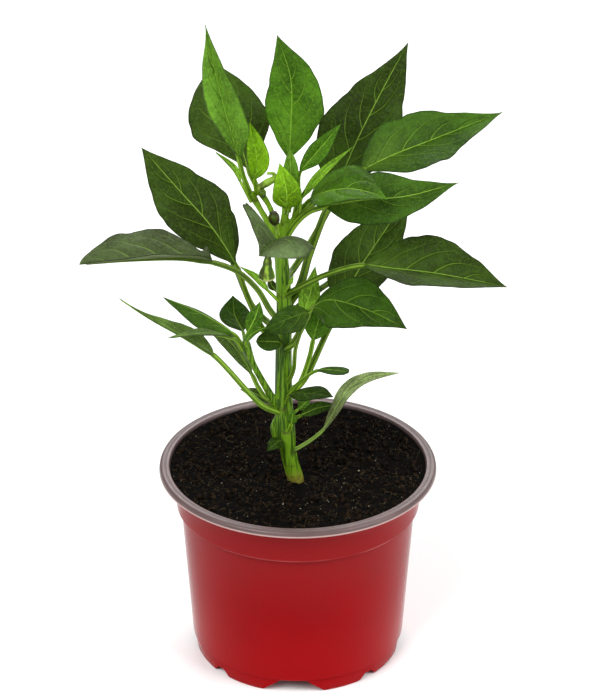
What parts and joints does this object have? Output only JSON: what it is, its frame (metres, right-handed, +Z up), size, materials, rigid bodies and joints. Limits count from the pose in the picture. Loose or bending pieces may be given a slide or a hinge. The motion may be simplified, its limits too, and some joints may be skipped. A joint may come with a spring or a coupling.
{
  "type": "potted chilli pepper plant",
  "caption": "Young chilli pepper plant with pointed green leaves and small buds, standing in soil in a tapered red nursery pot with a rolled grey-brown rim.",
  "frame": {"origin": "on the pot's axis, on the surface that the pot stands on", "axes": "+Z up along the pot's axis; the plant's front, with its folded and its hanging leaf, faces -Y"},
  "size_m": [0.1895, 0.1455, 0.3172],
  "materials": {
    "pot_plastic": "satin red outside, grey-brown inside and on the rim",
    "potting_soil": "rough, dark, fibrous",
    "green_stem": "smooth and slightly waxy",
    "leaf_dark": "satin, veined",
    "leaf_middle": "satin, veined",
    "leaf_bright": "satin, veined",
    "leaf_pale": "satin, veined"
  },
  "bodies": {
    "root": {"pot": "pot_plastic", "soil": "potting_soil", "stem": "green_stem", "bud_hanging": "leaf_bright", "bud_round": "leaf_bright", "bud_small": "leaf_bright", "leaf_tall_left": "leaf_bright", "leaf_tall_middle": "leaf_bright", "leaf_broad_back": "leaf_dark", "leaf_upper_right": "leaf_dark", "leaf_far_right": "leaf_middle", "leaf_right": "leaf_bright", "leaf_folded_front": "leaf_middle", "leaf_young_right": "leaf_bright", "leaf_slim_right": "leaf_bright", "leaf_young_left": "leaf_bright", "leaf_crown_front": "leaf_bright", "leaf_crown_back": "leaf_middle", "leaf_needle_left": "leaf_bright", "leaf_drooping_front": "leaf_pale", "leaf_middle_left_back": "leaf_dark", "leaf_middle_left_front": "leaf_pale", "leaf_sliver_left": "leaf_bright", "leaf_node_left": "leaf_dark", "leaf_middle_right_back": "leaf_dark", "leaf_middle_right": "leaf_dark", "leaf_hanging_right": "leaf_dark", "leaf_across_stem": "leaf_dark", "leaf_stem_low": "leaf_dark", "leaf_small_bright": "leaf_bright", "leaf_small_dark": "leaf_dark", "leaf_needle_right": "leaf_bright", "leaf_shaded_right": "leaf_bright", "leaf_long_low_left": "leaf_middle", "leaf_shoot_upper": "leaf_middle", "leaf_shoot_front": "leaf_middle", "leaf_shoot_back": "leaf_dark", "leaf_shoot_young": "leaf_bright", "leaf_shoot_slim": "leaf_bright", "leaf_low_left_back": "leaf_middle", "leaf_blunt_right": "leaf_middle", "leaf_oval_low": "leaf_dark", "leaf_low_right": "leaf_bright", "leaf_low_right_back": "leaf_bright", "leaf_pale_curved": "leaf_pale", "leaf_soil_left": "leaf_dark", "leaf_dark_low_left": "leaf_dark", "leaf_shoot_low": "leaf_bright", "leaf_rear_right_high": "leaf_dark", "leaf_rear_left": "leaf_dark", "leaf_rear_top": "leaf_middle", "leaf_rear_right_low": "leaf_dark"}
  },
  "joints": []
}
